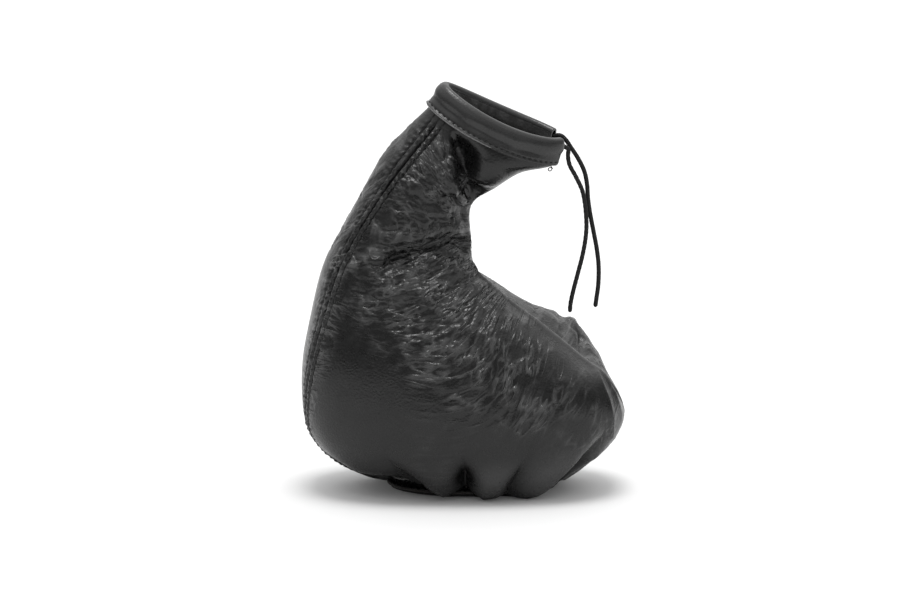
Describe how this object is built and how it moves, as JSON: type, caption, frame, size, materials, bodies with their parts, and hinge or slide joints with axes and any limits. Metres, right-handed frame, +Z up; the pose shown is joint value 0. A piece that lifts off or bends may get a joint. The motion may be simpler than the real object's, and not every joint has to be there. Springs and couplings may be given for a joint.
{
  "type": "handbrake boot",
  "caption": "Black leather handbrake boot with a drawstring collar and a gathered elastic hem.",
  "frame": {"origin": "centre of the bounding box on the floor, under the gathered hem", "axes": "+Z up from the hem to the collar, +X from the back seam towards the front inner bend, -Y the left leather side"},
  "size_m": [0.1617, 0.0938, 0.2058],
  "materials": {
    "boot_leather": "satin",
    "casing_leather": "satin",
    "thread": "matte",
    "cord": "matte",
    "elastic": "matte"
  },
  "bodies": {
    "root": {"left_leather_side": "boot_leather", "right_leather_side": "boot_leather", "collar_casing": "casing_leather", "drawcord": "cord", "hem_elastic": "elastic", "back_topstitch_left": "thread", "back_topstitch_right": "thread", "collar_stitching": "thread", "hem_stitching": "thread"}
  },
  "joints": []
}
